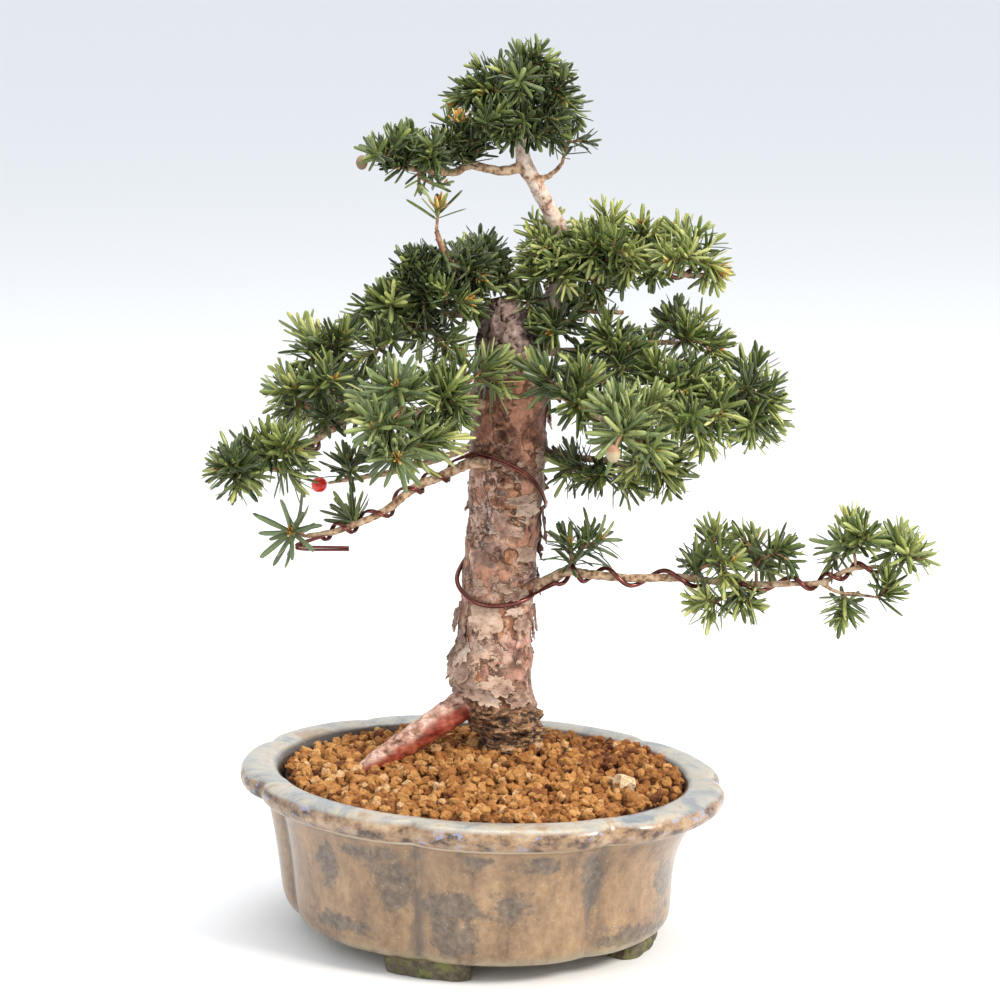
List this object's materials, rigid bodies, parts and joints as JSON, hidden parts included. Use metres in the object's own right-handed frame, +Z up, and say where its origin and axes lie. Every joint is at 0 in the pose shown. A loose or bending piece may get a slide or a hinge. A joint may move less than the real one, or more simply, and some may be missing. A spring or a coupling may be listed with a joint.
{
  "type": "potted bonsai tree",
  "caption": "Japanese yew bonsai, its branches shaped with wire, growing in a lobed oval glazed stoneware pot of clay granules.",
  "frame": {"origin": "middle of the bounding box at its bottom, on the plane that the pot's feet stand on", "axes": "+Z up along the trunk, +X to the right and +Y to the back, seen from the tree's front"},
  "size_m": [0.3456, 0.203, 0.4239],
  "materials": {
    "stoneware": "glossy mottled glaze",
    "screen": "matte",
    "gravel": "rough porous clay granules",
    "bark": "scaly, flaking bark",
    "wire": "copper-brown anodised, satin",
    "leaf": "leathery needles with a soft gloss",
    "aril": "smooth waxy fruit flesh"
  },
  "bodies": {
    "root": {"pot": "stoneware", "drain_screen_left": "screen", "drain_screen_right": "screen", "soil": "gravel", "trunk_and_branches": "bark", "wire_low": "wire", "wire_left_mid": "wire", "wire_right_upper": "wire", "aril": "aril", "spray_apex_1": "leaf", "spray_apex_2": "leaf", "spray_apex_3": "leaf", "spray_apex_4": "leaf", "spray_apex_5": "leaf", "spray_apex_left_1": "leaf", "spray_apex_left_2": "leaf", "spray_apex_left_3": "leaf", "spray_left_upper_1": "leaf", "spray_left_upper_2": "leaf", "spray_left_upper_3": "leaf", "spray_left_upper_4": "leaf", "spray_right_upper_1": "leaf", "spray_right_upper_2": "leaf", "spray_right_upper_3": "leaf", "spray_right_upper_4": "leaf", "spray_right_upper_5": "leaf", "spray_right_high_1": "leaf", "spray_right_high_2": "leaf", "spray_right_high_3": "leaf", "spray_right_mid_1": "leaf", "spray_right_mid_2": "leaf", "spray_right_mid_3": "leaf", "spray_right_mid_4": "leaf", "spray_right_mid_5": "leaf", "spray_right_mid_6": "leaf", "spray_right_front_1": "leaf", "spray_right_front_2": "leaf", "spray_right_back_1": "leaf", "spray_right_back_2": "leaf", "spray_left_mid_1": "leaf", "spray_left_mid_2": "leaf", "spray_left_mid_3": "leaf", "spray_left_mid_4": "leaf", "spray_left_mid_5": "leaf", "spray_left_mid_6": "leaf", "spray_left_front_1": "leaf", "spray_left_front_2": "leaf", "spray_left_front_3": "leaf", "spray_left_back_1": "leaf", "spray_left_back_2": "leaf", "spray_low_left_1": "leaf", "spray_low_left_2": "leaf", "spray_low_right_1": "leaf", "spray_low_right_2": "leaf", "spray_low_right_3": "leaf", "spray_low_right_4": "leaf", "spray_low_right_5": "leaf", "spray_low_right_6": "leaf", "spray_low_right_7": "leaf", "spray_low_right_8": "leaf"}
  },
  "joints": []
}
